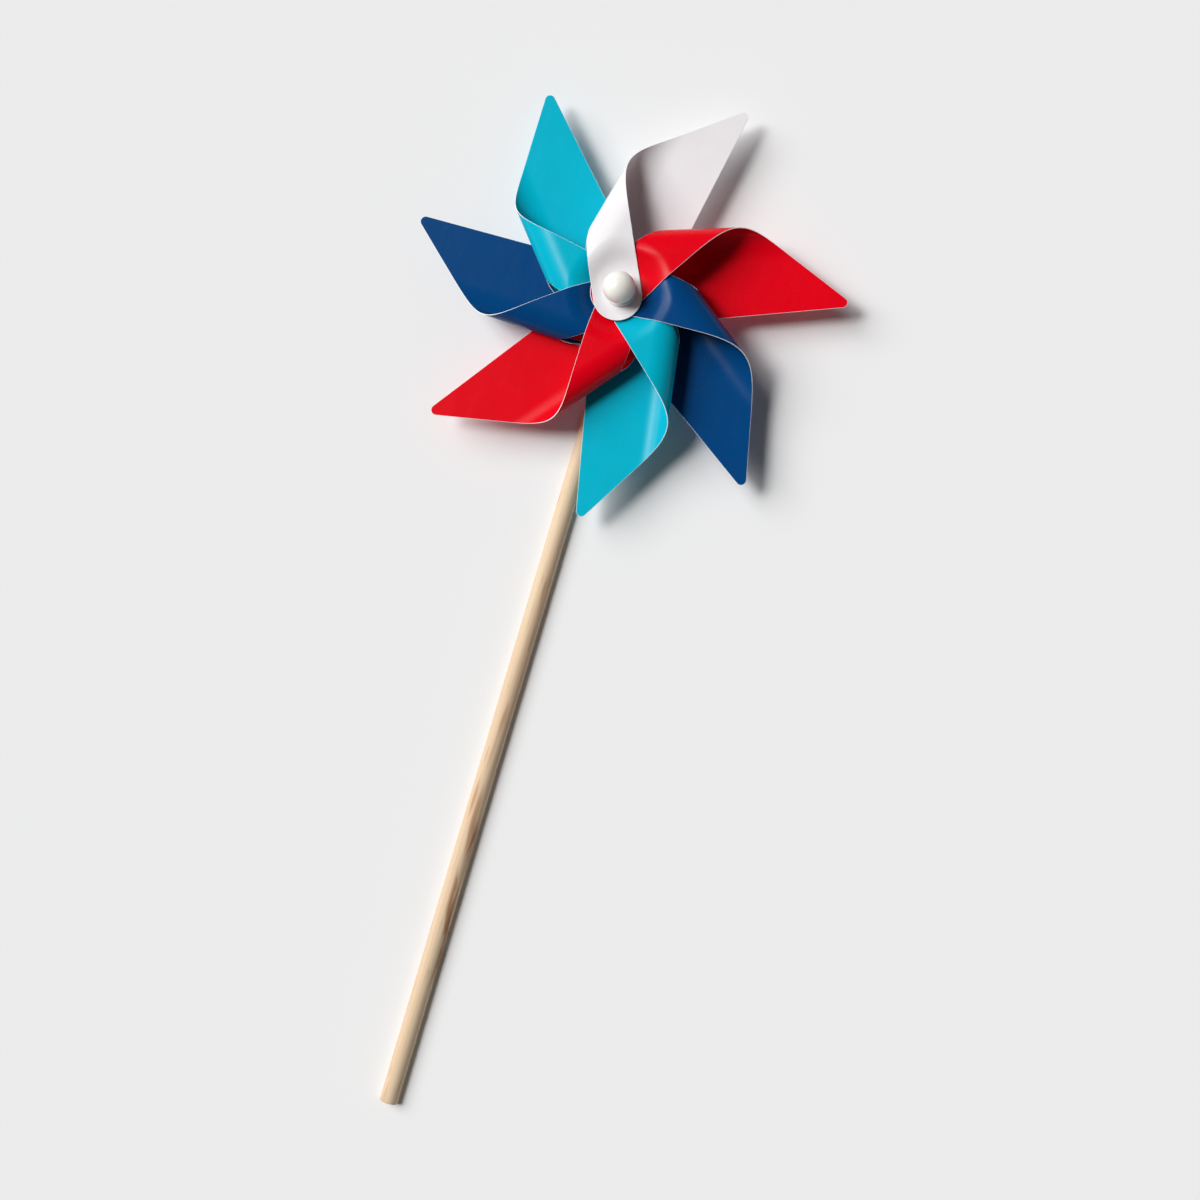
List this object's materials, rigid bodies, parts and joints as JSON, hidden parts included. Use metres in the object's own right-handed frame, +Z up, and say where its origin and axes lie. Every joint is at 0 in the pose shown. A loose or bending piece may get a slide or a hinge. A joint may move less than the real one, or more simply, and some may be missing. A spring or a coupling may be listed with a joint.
{
  "type": "pinwheel",
  "caption": "Toy pinwheel whose curled plastic petals turn on a pin through the top of a plain wooden stick, with a ball nose at the hub.",
  "frame": {"origin": "centre of the stick's bottom end face", "axes": "+Z up along the stick, -Y the way the wheel faces, +X to the right as seen from the front"},
  "size_m": [0.1502, 0.0402, 0.3602],
  "materials": {
    "stick": "satin",
    "axle_pin": "brushed",
    "back_cap": "gloss",
    "ball_cap": "gloss",
    "standoff_bead": "gloss",
    "rear_washer": "gloss",
    "spacer_sleeve": "gloss",
    "front_collar": "gloss",
    "petal_red_lower_left": "satin sheet",
    "petal_teal_bottom": "satin sheet",
    "petal_navy_lower_right": "satin sheet",
    "petal_red_right": "satin sheet",
    "petal_white": "satin sheet",
    "petal_teal_top": "satin sheet",
    "petal_navy_left": "satin sheet"
  },
  "bodies": {
    "root": {"stick": "stick", "axle_pin": "axle_pin", "back_cap": "back_cap", "ball_cap": "ball_cap", "standoff_bead": "standoff_bead"},
    "wheel": {"rear_washer": "rear_washer", "spacer_sleeve": "spacer_sleeve", "front_collar": "front_collar", "petal_red_lower_left": "petal_red_lower_left", "petal_teal_bottom": "petal_teal_bottom", "petal_navy_lower_right": "petal_navy_lower_right", "petal_red_right": "petal_red_right", "petal_white": "petal_white", "petal_teal_top": "petal_teal_top", "petal_navy_left": "petal_navy_left"}
  },
  "joints": [
    {"name": "wheel_spin", "type": "hinge", "parent": "root", "child": "wheel", "pos_m": [0, -0.015, 0.287], "axis": [0, -1, 0], "continuous": true}
  ]
}
